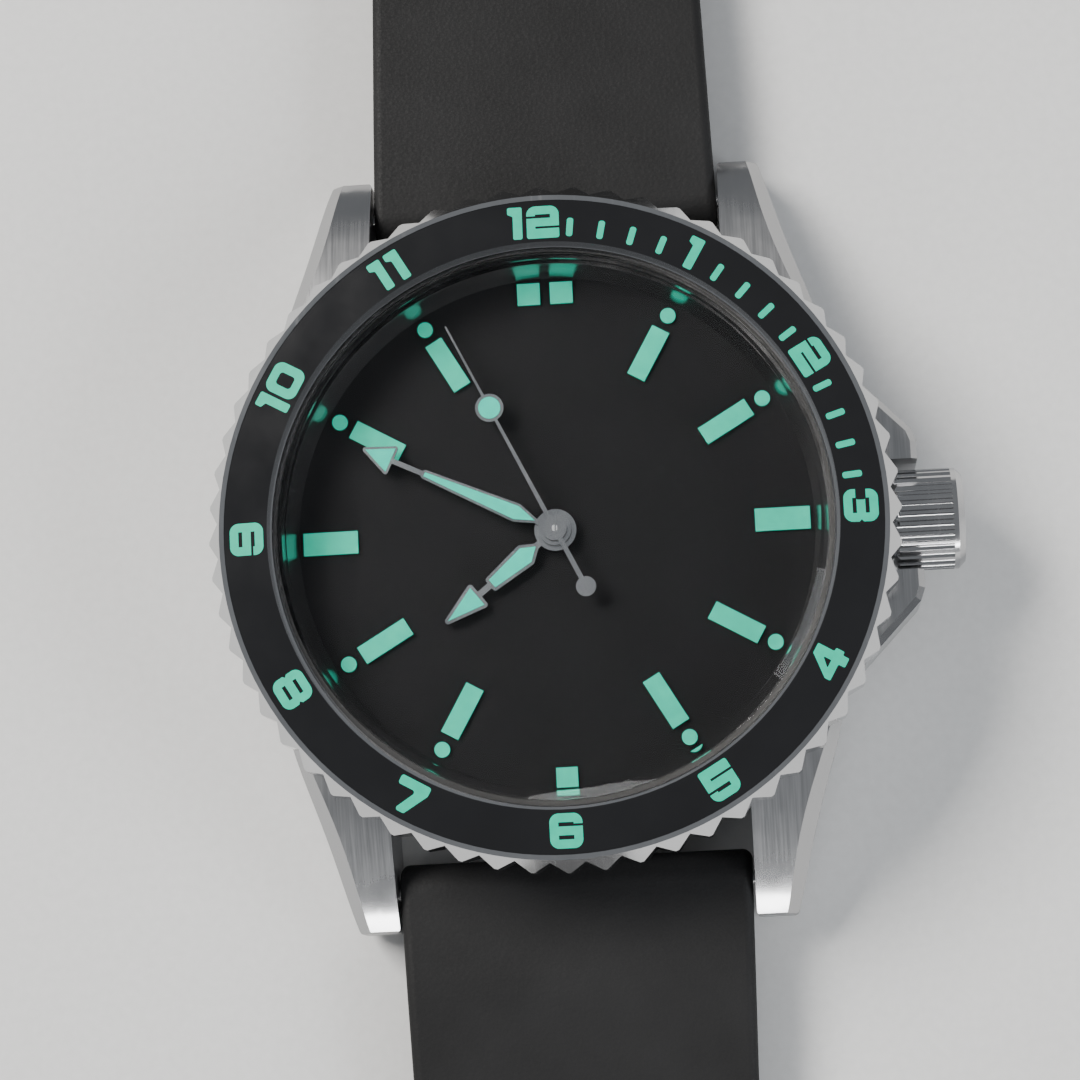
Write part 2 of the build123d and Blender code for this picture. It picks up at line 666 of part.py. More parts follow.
def fourth_wheel():
    """The seconds arbor, which runs up through the cannon tube."""
    body = disc(0.2, 4.2, SECOND_HAND_Z + HAND_THICK) + disc(0.1, 3.65, 4.3)
    body += in_place(gear_face(10, THIRD_MODULE), 4.55, 0.55, turn=gap_toward(10, THIRD_ANGLE))
    wheel = spoked(84, TRAIN_MODULE, 1.0, 0.45, 4)
    return body + in_place(wheel, 4.28, 0.15, turn=ESCAPE_ANGLE)


def escape_face():
    """Twenty hooked teeth on a light rim."""
    points = []
    for tooth in range(20):
        points.append(from_centre(2.0, 18 * tooth))
        points.append(from_centre(1.97, 18 * tooth + 2.0))
        points.append(from_centre(1.55, 18 * tooth + 5.0))
        points.append(from_centre(1.5, 18 * tooth + 13.0))
    gaps = Circle(1.25) - Circle(0.5)
    for turn in range(4):
        gaps -= Rot(0, 0, 90 * turn) * Pos(1, 0) * Rectangle(2, 0.25)
    return make_face(Polyline(*points, close=True)) - gaps


def escape_wheel():
    body = pivoted(0.2, ESCAPE)
    body += in_place(gear_face(7, TRAIN_MODULE), 4.25, 0.3, ESCAPE,
                     gap_toward(7, ESCAPE_ANGLE + 180))
    return body + in_place(escape_face(), 5.1, 0.12, ESCAPE, ESCAPE_TURN)


def pallet_fork():
    """The lever, its two arms and the notch that the balance's pin enters."""
    outline = [(-1.05, 0.0), (-0.95, -1.25), (-0.75, -1.25), (-0.7, -0.25), (-0.25, -0.3),
               (0.25, -0.16), (2.35, -0.14), (2.55, -0.3), (2.75, -0.3), (2.65, -0.08),
               (2.45, 0.0), (2.65, 0.08), (2.75, 0.3), (2.55, 0.3), (2.35, 0.14), (0.25, 0.16),
               (-0.25, 0.3), (-0.7, 0.25), (-0.75, 1.25), (-0.95, 1.25)]
    lever = in_place(make_face(Polyline(*outline, close=True)), 5.32, 0.14, FORK, FORK_ANGLE)
    return lever + pivoted(0.15, FORK)


def pallet_stones():
    """Two ruby stones that hang from the fork's arms into the escape wheel's teeth."""
    stones = []
    for side in (-1, 1):
        stone = Pos(-0.92, 1.1 * side) * Rectangle(0.5, 0.14)
        stones.append(in_place(stone, 5.1, 0.22, FORK, FORK_ANGLE))
    return Part() + stones


def balance_wheel():
    """The balance: rim, two arms, staff, roller and impulse pin."""
    face = Circle(3.2) - Circle(2.75)
    face += Rectangle(5.9, 0.4) + Circle(0.6)
    body = in_place(face, 4.45, 0.35, BALANCE, 20) + pivoted(0.2, BALANCE)
    body += disc(0.55, 5.4, 5.55, BALANCE)
    pin = from_centre(0.42, FORK_ANGLE + 180)
    return body + disc(0.08, 5.0, 5.45, (BALANCE[0] + pin[0], BALANCE[1] + pin[1]))


def hairspring():
    return spiral_ribbon(0.5, 1.9, 8, 0.05, 4.22, 0.12, BALANCE)


def mainspring():
    return spiral_ribbon(1.2, 4.3, 9, 0.14, 4.85, 0.45, BARREL)


def minute_wheel():
    body = in_place(gear_face(36, MOTION_MODULE), 6.97, 0.15, MINUTE_WHEEL,
                    gap_toward(36, MINUTE_WHEEL_ANGLE + 180))
    body += in_place(gear_face(10, HOUR_MODULE), 7.12, 0.36, MINUTE_WHEEL,
                     MINUTE_WHEEL_ANGLE + 180)
    return body - disc(0.3 + RUNNING, 6, 8, MINUTE_WHEEL)


def hour_wheel():
    face = gear_face(40, HOUR_MODULE)
    body = in_place(face, 7.3, 0.15, turn=gap_toward(40, MINUTE_WHEEL_ANGLE))
    body += disc(0.8, 7.3, HOUR_HAND_Z + HAND_THICK)
    return body - disc(0.5, 7, 9)


def automatic_bridge():
    """The bar that carries the rotor's post under the movement."""
    body = block((-10.2, 10.2), (-2.0, 2.0), (2.9, 3.3))
    body += disc(1.0, 2.1, 2.9) + disc(1.2, 3.3, BRIDGE_BOTTOM, (9.0, 0))
    body += disc(1.2, 3.3, BRIDGE_BOTTOM, (-9.0, 0))
    return body - disc(0.5, 2.0, 3.4)


def rotor():
    """The half-disc winding weight with its heavy rim."""
    half = Pos(0, -10) * Rectangle(40, 20)
    web = (Circle(12.0) & half) + Circle(2.1)
    for side in (-1, 1):
        web -= Pos(4.9 * side, -5.2) * Circle(2.3)
    rim = (Circle(12.4) - Circle(9.8)) & half
    body = Pos(0, 0, 2.35) * extrude(web, 0.25) + Pos(0, 0, 2.0) * extrude(rim, 0.75)
    body += ring(2.1, 1.0, 2.15, 2.8)
    return body - disc(1.0 + RUNNING, 1, 4)


def rotor_screw():
    head = disc(1.6, 1.85, 2.1)
    return head - block((-1.7, 1.7), (-0.15, 0.15), (1.8, 1.95)) + disc(0.5, 2.1, 3.3)


# ---- Strap --------------------------------------------------------------------------------
def strap_half_width(y):
    """Half the strap's width at a distance from the case's centre."""
    share = min((y - SPRING_BAR_Y) / (STRAP_TAPER_END - SPRING_BAR_Y), 1)
    return (STRAP_WIDTH - 0.1 - share * (STRAP_WIDTH - STRAP_END_WIDTH)) / 2


def strap_plan(end):
    """The right-hand outline of a strap half up to a straight end."""
    start = SPRING_BAR_Y - 3
    return [(strap_half_width(start), start),
            (strap_half_width(STRAP_TAPER_END), STRAP_TAPER_END),
            (strap_half_width(STRAP_TAPER_END), end)]


def strap_profile(flat_bottom, flat_start, end):
    """The side outline, as (y, z): the eye round the spring bar, the drape and the flat run."""
    half = STRAP_THICK / 2
    run = make_face(Polyline(
        (SPRING_BAR_Y, SPRING_BAR_Z - half), (SPRING_BAR_Y + 6, SPRING_BAR_Z - half - 0.1),
        (flat_start, flat_bottom), (end, flat_bottom), (end, flat_bottom + STRAP_THIN),
        (flat_start, flat_bottom + STRAP_THIN), (SPRING_BAR_Y + 6, SPRING_BAR_Z + half - 0.1),
        (SPRING_BAR_Y, SPRING_BAR_Z + half), close=True))
    bends = [v for v in run.vertices() if SPRING_BAR_Y + 1 < v.X < end - 1]
    run = fillet(bends, 12)
    return run + Pos(SPRING_BAR_Y, SPRING_BAR_Z) * Circle(STRAP_LOOP_R)


def softened(strap, radius):
    """Rounds a strap's long upper and lower edges."""
    long_edges = [edge for edge in strap.edges()
                  if abs(edge.center().X) > 9.5 and edge.center().Y > 22 and edge.length > 3
                  and abs(edge.tangent_at(0.5).Y) > 0.8]
    return fillet(long_edges, radius)


def strap_12():
    """The short half, with the buckle's eye and the slot for its tongue."""
    body = side_profile(strap_profile(SHORT_LIFT, 44, BUCKLE_BAR_Y), 12)
    body += Pos(0, BUCKLE_BAR_Y, BUCKLE_BAR_Z) * Rot(0, 90, 0) * Cylinder(STRAP_LOOP_R, 24)
    body &= Pos(0, 0, -1) * extrude(outline_face(strap_plan(BUCKLE_BAR_Y + 3)), 9)
    body -= along_x(STRAP_EYE_R, -13, 13, SPRING_BAR_Y, SPRING_BAR_Z)
    body -= along_x(STRAP_EYE_R, -13, 13, BUCKLE_BAR_Y, BUCKLE_BAR_Z)
    slot = block((-1.7, 1.7), (BUCKLE_BAR_Y - 3.2, BUCKLE_BAR_Y + 4), (0, 8))
    return softened(body - slot, 0.6)


def strap_6():
    """The long half, with adjustment holes and a rounded tip."""
    body = side_profile(strap_profile(0.0, 50, LONG_END_Y), 12)
    plan = outline_face(strap_plan(LONG_END_Y))
    tip_corners = [v for v in plan.vertices() if v.Y > LONG_END_Y - 1]
    plan = fillet(tip_corners, 8.5)
    body &= Pos(0, 0, -1) * extrude(plan, 9)
    body -= along_x(STRAP_EYE_R, -13, 13, SPRING_BAR_Y, SPRING_BAR_Z)
    hole = SlotOverall(3.0, 1.9)
    for place in range(HOLE_COUNT):
        y = FIRST_HOLE_Y + HOLE_PITCH * place
        body -= Pos(0, y, -1) * extrude(hole, 6)
    return Rot(0, 0, 180) * softened(body, 0.6)


def keeper(middle_y):
    """A rubber loop round the strap with room for the other half above it."""
    inner_x = STRAP_END_WIDTH / 2 + KEEPER_GAP
    bottom = SHORT_LIFT - KEEPER_GAP
    top = SHORT_LIFT + 2 * STRAP_THIN + 0.5
    inner = Pos(0, (bottom + top) / 2) * RectangleRounded(2 * inner_x, top - bottom, 0.5)
    outer = offset(inner, KEEPER_WALL)
    band = extrude(Plane.XZ * (outer - inner), KEEPER_LENGTH / 2, both=True)
    return Pos(0, middle_y, 0) * band


def spring_bar(y, z, half_length):
    """A spring bar: its body and the two thin tips of the pin inside it."""
    body = along_x(BAR_R, -half_length, half_length, y, z)
    return body + along_x(0.45, -half_length - BAR_TIP, half_length + BAR_TIP, y, z)


def buckle_frame():
    """A tang buckle's steel frame, with holes for its bar and a notch for the tongue."""
    back_y, front_y = BUCKLE_BAR_Y - 1.6, BUCKLE_BAR_Y + 11.0
    middle = (back_y + front_y) / 2
    outer = Pos(0, middle) * RectangleRounded(BUCKLE_WIDTH, front_y - back_y, 1.5)
    inner = Pos(0, (back_y - 2 + front_y - 2.6) / 2)
    inner *= Rectangle(BUCKLE_OPENING, front_y - 2.6 - back_y + 2)
    body = extrude(outer - inner, 4.6)
    body &= side_profile(make_face(Polyline(
        (back_y, 1.3), (back_y + 0.9, 0.9), (front_y - 3, 0), (front_y, 0.3), (front_y, 2.7),
        (front_y - 2.6, 3.3), (BUCKLE_BAR_Y + 2, 4.3), (back_y + 0.8, 4.3), (back_y, 3.5),
        close=True)), 14)
    body -= block((-1.5, 1.5), (front_y - 3, front_y + 1), (2.4, 5))
    body -= along_x(0.45, -12.3, 12.3, BUCKLE_BAR_Y, BUCKLE_BAR_Z)
    side = (BUCKLE_WIDTH + BUCKLE_OPENING) / 4 - 0.4
    rim = [edge for edge in body.edges() if abs(edge.tangent_at(0.5).Z) < 0.75
           and (abs(edge.center().X) > side or edge.center().Y > front_y - 1)]
    return fillet(rim, BUCKLE_ROUNDING)


def buckle_tongue():
    """The tang: a loop round the bar and a pin that rests in the frame's notch."""
    z = BUCKLE_BAR_Z
    y = BUCKLE_BAR_Y
    outline = make_face(Polyline((y, z - 0.55), (y + 8, z - 0.1), (y + 11.2, 2.85),
                                 (y + 11.2, 3.5), (y + 8.4, z + 1.0), (y, z + 0.75), close=True))
    body = side_profile(outline, 1.1)
    body += along_x(1.45, -1.4, 1.4, y, z)
    return body - along_x(STRAP_EYE_R, -2, 2, y, z)


# ---- Assembly -----------------------------------------------------------------------------
def build():
    numerals = bezel_lume()
    nodes = {
        "mid_case": mid_case(), "case_back": case_back(), "case_back_gasket": case_back_gasket(),
        "crown_tube": crown_tube(), "movement_holder": movement_holder(),
        "rehaut_ring": rehaut_ring(), "crystal": crystal(), "crystal_gasket": crystal_gasket(),
        "bezel_retaining_wire": bezel_retaining_wire(),
        "bezel_click_spring": bezel_click_spring(), "bezel_ring": bezel_ring(),
        "bezel_insert": bezel_insert(numerals), "bezel_numerals": numerals,
        "dial": dial(), "dial_plots": dial_plots(),
        "spring_bars": Part() + [spring_bar(side * SPRING_BAR_Y, SPRING_BAR_Z, LUG_BAR_HALF)
                                 for side in (-1, 1)],
        "crown": crown(), "crown_gasket": crown_gasket(), "winding_stem": winding_stem(),
        "winding_pinion": winding_pinion(),
        "main_plate": main_plate(), "barrel_bridge": bridge("barrel"),
        "train_bridge": bridge("train"), "balance_cock": bridge("cock"),
        "bridge_screws": bridge_screws(), "jewels": jewels(), "barrel_drum": barrel_drum(),
        "barrel_arbor": barrel_arbor(), "mainspring": mainspring(),
        "centre_wheel": centre_wheel(), "third_wheel": third_wheel(),
        "fourth_wheel": fourth_wheel(), "escape_wheel": escape_wheel(),
        "pallet_fork": pallet_fork(), "pallet_stones": pallet_stones(),
        "balance_wheel": balance_wheel(), "hairspring": hairspring(),
        "minute_wheel": minute_wheel(), "hour_wheel": hour_wheel(),
        "automatic_bridge": automatic_bridge(), "rotor": rotor(), "rotor_screw": rotor_screw(),
        "hour_hand": at_clock(HOUR_ANGLE, hand_frame(HOUR_BLADE, HOUR_ARROW, 1.3, 0.8, 0.2,
                                                     HOUR_HAND_Z)),
        "hour_hand_lume": at_clock(HOUR_ANGLE, hand_lume(HOUR_BLADE, HOUR_ARROW, HOUR_HAND_Z)),
        "minute_hand": at_clock(MINUTE_ANGLE, hand_frame(MINUTE_BLADE, MINUTE_ARROW, 1.0, 0.45,
                                                         0.16, MINUTE_HAND_Z)),
        "minute_hand_lume": at_clock(MINUTE_ANGLE, hand_lume(MINUTE_BLADE, MINUTE_ARROW,
                                                             MINUTE_HAND_Z)),
        "seconds_hand": at_clock(SECOND_ANGLE, seconds_hand()),
        "seconds_hand_lume": at_clock(SECOND_ANGLE, seconds_lume()),
        "strap_12": strap_12(), "strap_6": strap_6(), "fixed_keeper": keeper(FIXED_KEEPER_Y),
        "sliding_keeper": keeper(SLIDING_KEEPER_Y), "buckle_frame": buckle_frame(),
        "buckle_spring_bar": spring_bar(BUCKLE_BAR_Y, BUCKLE_BAR_Z, BUCKLE_BAR_HALF),
        "buckle_tongue": buckle_tongue(),
    }
    os.makedirs("parts", exist_ok=True)
    for name, shape in nodes.items():
        export_step(shape, f"parts/{name}.step")


build()
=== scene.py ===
"""Materials, light and camera for the dive watch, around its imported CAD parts."""
import json
from math import radians

import bpy
from mathutils import Matrix, Vector

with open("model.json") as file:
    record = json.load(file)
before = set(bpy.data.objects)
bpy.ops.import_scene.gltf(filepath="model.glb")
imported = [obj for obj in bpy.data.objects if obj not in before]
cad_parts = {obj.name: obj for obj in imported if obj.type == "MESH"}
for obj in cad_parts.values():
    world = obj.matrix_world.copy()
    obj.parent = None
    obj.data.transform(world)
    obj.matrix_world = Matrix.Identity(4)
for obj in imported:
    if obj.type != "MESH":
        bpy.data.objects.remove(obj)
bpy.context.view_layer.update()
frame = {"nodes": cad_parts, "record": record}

DIAL_HEIGHT = 0.008           # of the dial's upper face, in metres

# ---- Colours, linear --------------------------------------------------------------------
STEEL = (0.50, 0.50, 0.505)
POLISHED = (0.55, 0.553, 0.56)
NICKEL = (0.60, 0.585, 0.55)
BRASS = (0.70, 0.50, 0.22)
RUBY = (0.42, 0.012, 0.06)
CERAMIC = (0.004, 0.004, 0.0045)
DIAL = (0.0022, 0.0022, 0.0024)
RUBBER = (0.007, 0.007, 0.0073)
SEAL = (0.02, 0.02, 0.02)
NYLON = (0.55, 0.55, 0.53)
CRYSTAL = (0.985, 0.995, 1.0)
PAPER = (0.64, 0.64, 0.635)
PAPER_DARK = (0.60, 0.60, 0.595)
LUME_DIAL = (0.0, 0.17, 0.112)
LUME_HANDS = (0.0, 0.18, 0.13)
LUME_BEZEL = (0.0, 0.34, 0.22)
GLOW_DIAL = (0.0, 0.30, 0.192)
GLOW_HANDS = (0.0, 0.34, 0.24)
GLOW_BEZEL = (0.0, 0.25, 0.15)

# ---- Roughness of the steels ------------------------------------------------------------
BEVEL_ROUGHNESS = 0.10        # of the case's polished bevels
BRUSHED_EXTRA = 0.14          # more than that on its brushed faces
BEZEL_ROUGHNESS = 0.09
CROWN_ROUGHNESS = 0.15
HAND_ROUGHNESS = 0.14
PLATE_ROUGHNESS = 0.24
SPRING_ROUGHNESS = 0.30

# ---- Surface detail, as features per metre ----------------------------------------------
BRUSH_LINES = 9000
HAIRLINES = 5200
TURNING_LINES = 7000
DIAL_GRAIN = 16000
LUME_GRAIN = 11000
RUBBER_CELLS = 3600
RUBBER_GRAIN = 9000
PLASTIC_GRAIN = 6000
PAPER_GRAIN = 1500
RUBY_CLOUDS = 3000
LUME_CLOUDS = 1500
METAL_CLOUDS = 500
SMUDGES = 300                 # on polished steel
BRUSHED_SMUDGES = 260
DIAL_CLOUDS = 220
CERAMIC_SMEARS = 180
CRYSTAL_SMEARS = 140
RUBBER_CLOUDS = 120

# ---- Stage, in metres and watts ---------------------------------------------------------
FLOOR_HALF = 1.2
FLOOR_DROP = 0.00002          # keeps the floor clear of the case back's face
SKY = (0.86, 0.90, 0.95)
SKY_STRENGTH = 0.30
KEY_PLACE = (-0.45, 0.30, 0.55)
KEY_SIZE = (0.40, 0.30)
KEY_POWER = 11.0
KEY_COLOUR = (1.0, 0.97, 0.93)
FILL_PLACE = (0.60, -0.20, 0.40)
FILL_SIZE = (0.35, 0.35)
FILL_POWER = 3.5
FILL_COLOUR = (0.93, 0.96, 1.0)
RIM_PLACE = (0.10, -0.65, 0.22)
RIM_SIZE = (0.5, 0.12)
RIM_POWER = 3.0
RIM_COLOUR = (1.0, 1.0, 1.0)
RIM_AIM = (0, -0.01, 0.005)
WATCH = (0, 0, 0)             # where the key and fill lights point

# ---- Camera -----------------------------------------------------------------------------
LENS = 113.3                  # mm, on a film 36 mm wide
FILM = 36.0
CAMERA_DISTANCE = 0.2105      # metres from the dial's plane
NEAREST_SEEN = 0.005          # metres from the camera
TILT = -8.5                   # degrees about X: the view comes from the 6 o'clock side
LEAN = -4.0                   # about Y
ROLL = 2.6                    # about the line of sight
DIAL_RIGHT = 0.00102          # metres from the picture's middle to the dial's centre
DIAL_UP = 0.00046


# ---- Material building ------------------------------------------------------------------
NOISE_ROUGHNESS = 0.55        # how much each finer layer of a noise counts


class Tree:
    """One material with a Principled shader and helpers for the nodes behind it."""

    def __init__(self, name):
        self.material = bpy.data.materials.new(name)
        self.material.use_nodes = True
        self.nodes = self.material.node_tree.nodes
        self.links = self.material.node_tree.links
        self.shader = self.nodes["Principled BSDF"]
        self.output = self.nodes["Material Output"]
        self.place = self.nodes.new("ShaderNodeTexCoord")

    def link(self, source, target):
        self.links.new(source, target)

    def value(self, socket, number):
        """Sets one of the shader's own sockets."""
        self.shader.inputs[socket].default_value = number

    def noise(self, scale, detail, stretch=(1, 1, 1)):
        """Noise in object space: scale is in features per metre, multiplied per axis."""
        mapping = self.nodes.new("ShaderNodeMapping")
        mapping.inputs["Scale"].default_value = stretch
        self.link(self.place.outputs["Object"], mapping.inputs["Vector"])
        texture = self.nodes.new("ShaderNodeTexNoise")
        texture.inputs["Scale"].default_value = scale
        texture.inputs["Detail"].default_value = detail
        texture.inputs["Roughness"].default_value = NOISE_ROUGHNESS
        self.link(mapping.outputs["Vector"], texture.inputs["Vector"])
        return texture.outputs["Fac"]

    def cells(self, scale):
        """Distance to the nearest of many random points, for a moulded grain."""
        texture = self.nodes.new("ShaderNodeTexVoronoi")
        texture.inputs["Scale"].default_value = scale
        self.link(self.place.outputs["Object"], texture.inputs["Vector"])
        return texture.outputs["Distance"]

    def split(self, coordinates):
        """The X, Y and Z of one of the object's coordinates, as a node's outputs."""
        node = self.nodes.new("ShaderNodeSeparateXYZ")
        self.link(self.place.outputs[coordinates], node.inputs["Vector"])
        return node.outputs

    def spread(self, fac, low=0.0, high=1.0, start=0.3, end=0.7):
        """Maps start to end onto low to high; most of a noise lies from 0.3 to 0.7."""
        node = self.nodes.new("ShaderNodeMapRange")
        node.inputs["From Min"].default_value = start
        node.inputs["From Max"].default_value = end
        node.inputs["To Min"].default_value = low
        node.inputs["To Max"].default_value = high
        self.link(fac, node.inputs["Value"])
        return node.outputs["Result"]

    def math(self, operation, *sources):
        """Arithmetic on numbers and sockets."""
        node = self.nodes.new("ShaderNodeMath")
        node.operation = operation
        for socket, source in zip(node.inputs, sources):
            if isinstance(source, (int, float)):
                socket.default_value = source
            else:
                self.link(source, socket)
        return node.outputs["Value"]

    def mix(self, fac, first, second):
        """Mixes two colours, each a tuple or a socket."""
        node = self.nodes.new("ShaderNodeMix")
        node.data_type = "RGBA"
        self.link(fac, node.inputs["Factor"])
        for name, source in (("A", first), ("B", second)):
            socket = [s for s in node.inputs if s.name == name and s.type == "RGBA"][0]
            if isinstance(source, tuple):
                socket.default_value = (*source, 1.0)
            else:
                self.link(source, socket)
        return [s for s in node.outputs if s.type == "RGBA"][0]

    def colour(self, fac, dark, light):
        self.link(self.mix(fac, dark, light), self.shader.inputs["Base Color"])

    def roughness(self, source):
        self.link(source, self.shader.inputs["Roughness"])

    def bump(self, height, distance, strength):
        """Raises the surface by a height map; distance is in metres."""
        node = self.nodes.new("ShaderNodeBump")
        node.inputs["Distance"].default_value = distance
        node.inputs["Strength"].default_value = strength
        self.link(height, node.inputs["Height"])
        self.link(node.outputs["Normal"], self.shader.inputs["Normal"])


def shade(colour, factor):
    """A colour made darker, or lighter above 1."""
    return tuple(channel * factor for channel in colour)


def brushed_steel(name):
    """Brushed flanks and tops with lines along the part, and polished bevels between."""
    tree = Tree(name)
    tree.value("Metallic", 1.0)
    upright = tree.math("ABSOLUTE", tree.split("Normal")["Z"])
    top = tree.spread(upright, start=0.8, end=0.92)
    flank = tree.spread(upright, low=1.0, high=0.0, start=0.1, end=0.3)
    top_lines = tree.noise(BRUSH_LINES, detail=2.0, stretch=(1, 0.02, 0.02))
    flank_lines = tree.noise(BRUSH_LINES, detail=2.0, stretch=(0.02, 0.02, 1))
    lines = tree.math("ADD", tree.math("MULTIPLY", top, top_lines),
                      tree.math("MULTIPLY", flank, flank_lines))
    brushed = tree.math("MAXIMUM", top, flank)
    smudge = tree.noise(BRUSHED_SMUDGES, detail=4.0)
    rough = tree.math("MULTIPLY", brushed, BRUSHED_EXTRA)
    rough = tree.math("ADD", rough, BEVEL_ROUGHNESS)
    rough = tree.math("ADD", rough, tree.spread(smudge, low=-0.02, high=0.06))
    tree.roughness(tree.math("ADD", rough, tree.math("MULTIPLY", lines, 0.14)))
    tree.colour(tree.spread(lines), shade(STEEL, 0.80), STEEL)
    tree.bump(lines, distance=0.000003, strength=0.3)
    return tree.material


def polished_steel(name, colour, roughness):
    """Polished metal with faint hairline scratches and smudges."""
    tree = Tree(name)
    tree.value("Metallic", 1.0)
    hairlines = tree.noise(HAIRLINES, detail=1.0, stretch=(1, 0.04, 0.04))
    scratches = tree.spread(hairlines, low=roughness, high=roughness + 0.06, start=0.62, end=0.72)
    smudge = tree.noise(SMUDGES, detail=4.0)
    tree.roughness(tree.math("ADD", scratches, tree.spread(smudge, low=0.0, high=0.07)))
    tree.colour(tree.spread(smudge), shade(colour, 0.93), colour)
    tree.bump(hairlines, distance=0.000004, strength=0.3)
    return tree.material


def rehaut_steel(name):
    """The satin ring round the dial, with fine lines that run round it."""
    tree = Tree(name)
    tree.value("Metallic", 1.0)
    lines = tree.noise(TURNING_LINES, detail=2.0, stretch=(0.03, 0.03, 1))
    tree.roughness(tree.spread(lines, low=0.16, high=0.26))
    tree.colour(tree.spread(lines), shade(STEEL, 0.85), STEEL)
    tree.bump(lines, distance=0.000004, strength=0.3)
    return tree.material


def grained_metal(name, colour, roughness):
    """Grained metal of the inner parts."""
    tree = Tree(name)
    tree.value("Metallic", 1.0)
    grain = tree.noise(TURNING_LINES, detail=2.0, stretch=(1, 0.05, 1))
    cloud = tree.noise(METAL_CLOUDS, detail=3.0)
    tree.roughness(tree.spread(grain, low=roughness - 0.06, high=roughness + 0.08))
    tree.colour(tree.spread(cloud), shade(colour, 0.85), colour)
    tree.bump(grain, distance=0.000006, strength=0.4)
    return tree.material


def gear_brass(name):
    """Gilt wheels on arbors whose tips, above the dial, are bare steel."""
    tree = Tree(name)
    tree.value("Metallic", 1.0)
    grain = tree.noise(TURNING_LINES, detail=2.0, stretch=(1, 0.05, 1))
    tree.roughness(tree.spread(grain, low=0.20, high=0.34))
    above_dial = tree.math("GREATER_THAN", tree.split("Object")["Z"], DIAL_HEIGHT)
    gilt = tree.mix(tree.spread(grain), shade(BRASS, 0.85), BRASS)
    tree.colour(above_dial, gilt, STEEL)
    tree.bump(grain, distance=0.000006, strength=0.4)
    return tree.material


def gloss_black(name):
    """Polished ceramic with faint smears."""
    tree = Tree(name)
    smear = tree.noise(CERAMIC_SMEARS, detail=4.0)
    tree.roughness(tree.spread(smear, low=0.06, high=0.14))
    tree.colour(tree.spread(smear), CERAMIC, shade(CERAMIC, 1.5))
    tree.value("Coat Weight", 0.5)
    tree.value("Coat Roughness", 0.05)
    tree.bump(smear, distance=0.000004, strength=0.2)
    return tree.material


def matte_black(name):
    """A finely grained matte black dial."""
    tree = Tree(name)
    grain = tree.noise(DIAL_GRAIN, detail=2.0)
    cloud = tree.noise(DIAL_CLOUDS, detail=3.0)
    tree.roughness(tree.spread(grain, low=0.47, high=0.65))
    tree.colour(tree.spread(cloud), DIAL, shade(DIAL, 1.5))
    tree.value("Specular IOR Level", 0.06)
    tree.bump(grain, distance=0.000001, strength=0.3)
    return tree.material


def lume(name, colour, glow):
    """Luminous compound: a granular mint fill that gives off its own light."""
    tree = Tree(name)
    grain = tree.noise(LUME_GRAIN, detail=3.0)
    cloud = tree.noise(LUME_CLOUDS, detail=2.0)
    tree.colour(tree.spread(cloud), shade(colour, 0.88), colour)
    tree.roughness(tree.spread(grain, low=0.42, high=0.62))
    level = tree.mix(tree.spread(cloud), shade(glow, 0.86), glow)
    tree.link(level, tree.shader.inputs["Emission Color"])
    tree.value("Emission Strength", 1.0)
    tree.value("Specular IOR Level", 0.2)
    tree.bump(grain, distance=0.000020, strength=0.4)
    return tree.material


def rubber(name, colour):
    """Matte moulded rubber: a fine grain, slight clouding and a dusty bloom."""
    tree = Tree(name)
    cells = tree.cells(RUBBER_CELLS)
    fine = tree.noise(RUBBER_GRAIN, detail=2.0)
    cloud = tree.noise(RUBBER_CLOUDS, detail=4.0)
    bloom = tree.spread(cloud, start=0.35, end=0.75)
    tree.colour(bloom, colour, shade(colour, 1.7))
    tree.roughness(tree.spread(fine, low=0.58, high=0.78))
    tree.value("Specular IOR Level", 0.24)
    height = tree.math("ADD", cells, tree.math("MULTIPLY", fine, 0.5))
    tree.bump(height, distance=0.00004, strength=0.35)
    return tree.material


def plastic(name):
    """A plain moulded nylon."""
    tree = Tree(name)
    grain = tree.noise(PLASTIC_GRAIN, detail=2.0)
    tree.roughness(tree.spread(grain, low=0.40, high=0.53))
    tree.colour(tree.spread(grain), shade(NYLON, 0.92), NYLON)
    tree.bump(grain, distance=0.00001, strength=0.3)
    return tree.material


def ruby(name):
    """Polished red synthetic ruby, shown opaque."""
    tree = Tree(name)
    cloud = tree.noise(RUBY_CLOUDS, detail=2.0)
    tree.colour(tree.spread(cloud), shade(RUBY, 0.7), RUBY)
    tree.roughness(tree.spread(cloud, low=0.05, high=0.12))
    tree.value("Coat Weight", 0.6)
    return tree.material


def sapphire(name):
    """Coated crystal: clear glass that lets lamps light the dial below it."""
    tree = Tree(name)
    smear = tree.noise(CRYSTAL_SMEARS, detail=4.0)
    tree.value("Base Color", (*CRYSTAL, 1.0))
    tree.value("Transmission Weight", 1.0)
    tree.value("IOR", 1.2)
    tree.roughness(tree.spread(smear, low=0.0, high=0.02))
    path = tree.nodes.new("ShaderNodeLightPath")
    clear = tree.nodes.new("ShaderNodeBsdfTransparent")
    mixer = tree.nodes.new("ShaderNodeMixShader")
    tree.link(path.outputs["Is Shadow Ray"], mixer.inputs["Fac"])
    tree.link(tree.shader.outputs["BSDF"], mixer.inputs[1])
    tree.link(clear.outputs["BSDF"], mixer.inputs[2])
    tree.link(mixer.outputs["Shader"], tree.output.inputs["Surface"])
    return tree.material


def paper(name):
    """The floor's pale matte paper."""
    tree = Tree(name)
    grain = tree.noise(PAPER_GRAIN, detail=3.0)
    tree.colour(tree.spread(grain), PAPER_DARK, PAPER)
    tree.roughness(tree.spread(grain, low=0.75, high=0.9))
    return tree.material


